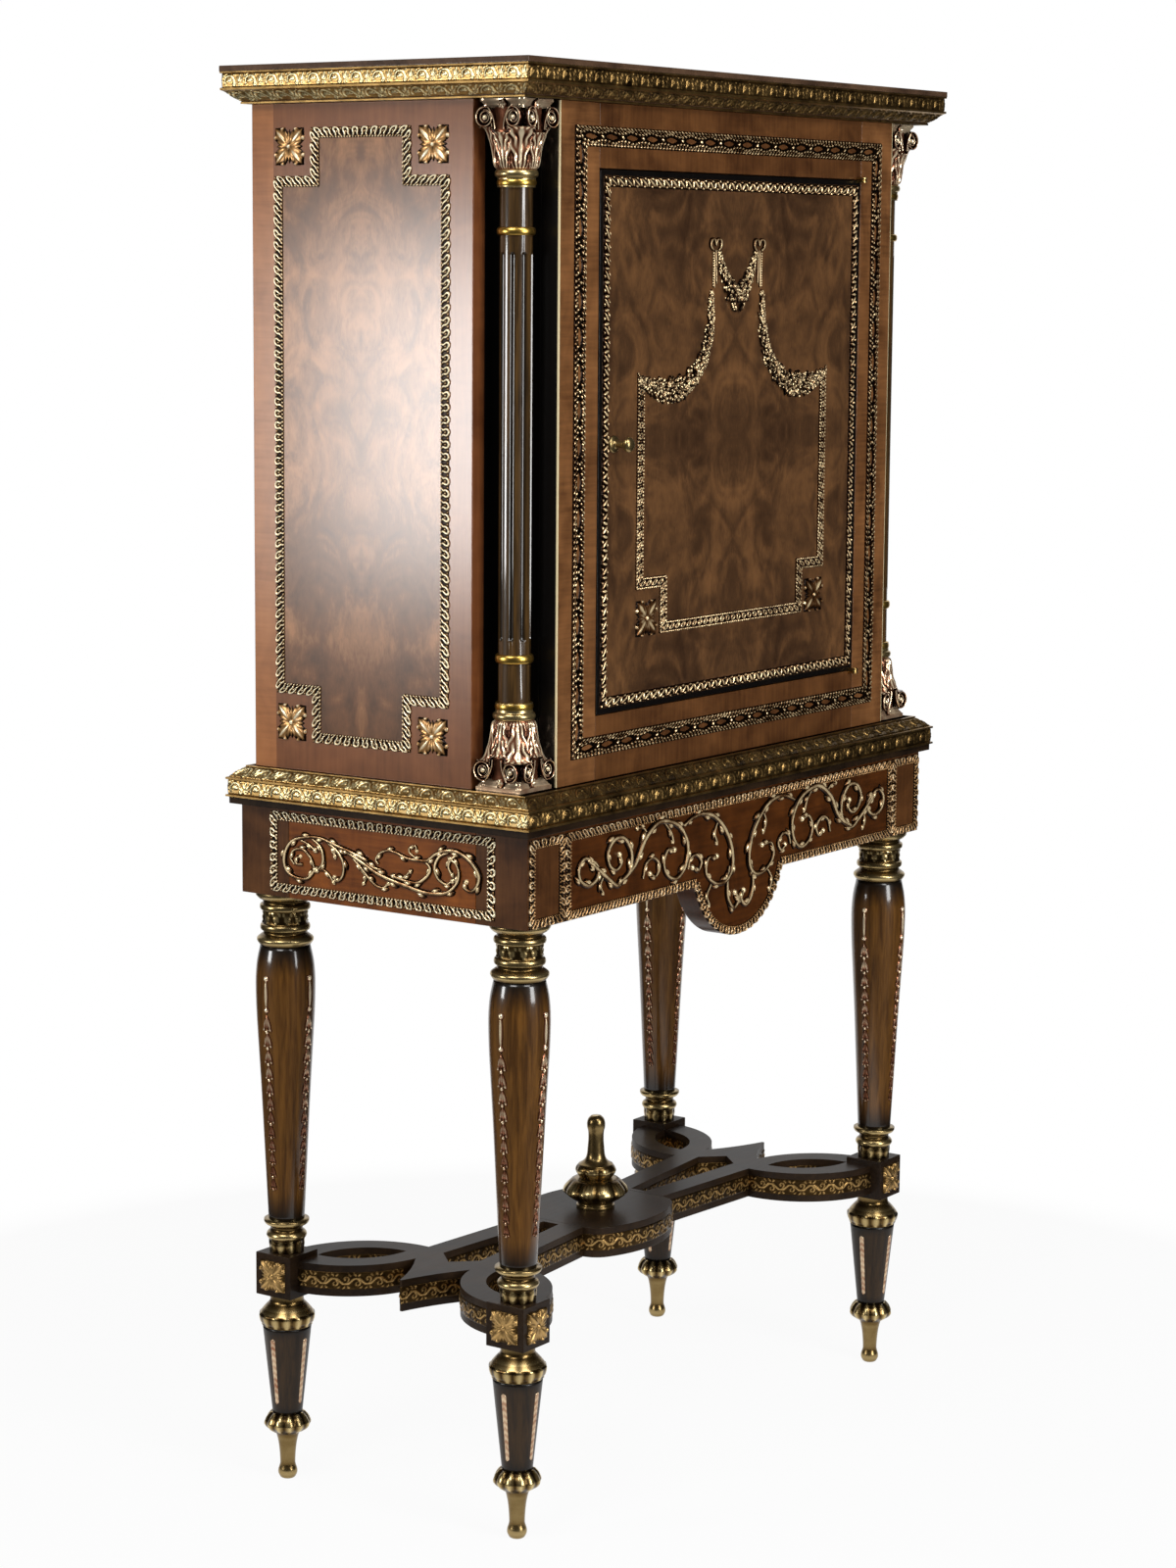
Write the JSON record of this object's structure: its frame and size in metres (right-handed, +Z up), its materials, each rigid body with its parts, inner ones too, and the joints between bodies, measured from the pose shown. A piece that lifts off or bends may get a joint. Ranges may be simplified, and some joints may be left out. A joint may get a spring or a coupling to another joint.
{
  "type": "cabinet on stand",
  "caption": "Ornate one-door cabinet with corner columns on a turned-leg stand with a pierced stretcher and centre finial, for storing and displaying things.",
  "frame": {"origin": "centre of the footprint on the floor", "axes": "+Z up, -Y towards the door side, +X to the right seen from the front"},
  "size_m": [0.824, 0.392, 1.5],
  "materials": {
    "burl": "polished burr veneer",
    "crossband": "polished cross-grain veneer",
    "turned": "polished turned hardwood",
    "dark": "dark polished hardwood",
    "inside": "plain oiled boards",
    "gilt": "aged gilt brass",
    "fittings": "plain polished brass",
    "steel": "bare",
    "catch": "moulded"
  },
  "bodies": {
    "cabinet": {"top_board": "dark", "top_moulding": "gilt", "waist_board": "dark", "waist_moulding": "gilt", "side_left": "burl", "side_right": "burl", "back_panel": "inside", "stile_left": "crossband", "stile_right": "crossband", "rail_top": "crossband", "rail_bottom": "crossband", "case_floor": "inside", "corner_return_left": "crossband", "corner_return_right": "crossband", "shelf": "inside", "shelf_bearers": "inside", "door_stop": "inside", "case_borders": "gilt", "column_shaft_left": "crossband", "column_shaft_right": "crossband", "column_capitals": "gilt", "column_bases": "gilt", "column_rings": "gilt", "apron_front": "burl", "apron_back": "inside", "apron_left": "burl", "apron_right": "burl", "apron_edging": "gilt", "corner_posts": "burl", "leg_collars": "gilt", "knee_mounts": "gilt", "stretcher_blocks": "dark", "shin_collars": "gilt", "feet": "gilt", "stretcher_left": "dark", "stretcher_right": "dark", "stretcher_platform": "dark", "finial": "gilt", "hinge_top_frame_leaf": "fittings", "hinge_bottom_frame_leaf": "fittings", "magnetic_catch": "catch", "leg_front_left": "turned", "shin_front_left": "turned", "leg_front_right": "turned", "shin_front_right": "turned", "leg_back_left": "turned", "shin_back_left": "turned", "leg_back_right": "turned", "shin_back_right": "turned"},
    "door": {"door_panel": "burl", "door_edging": "gilt", "door_cartouche": "gilt", "door_knob": "gilt", "hinge_top_door_leaf": "fittings", "hinge_bottom_door_leaf": "fittings", "strike_plate": "steel"}
  },
  "joints": [
    {"name": "door_hinge", "type": "hinge", "parent": "cabinet", "child": "door", "pos_m": [0.2535, -0.177, 1.12175], "axis": [0, 0, 1], "range_deg": [0, 110]}
  ]
}
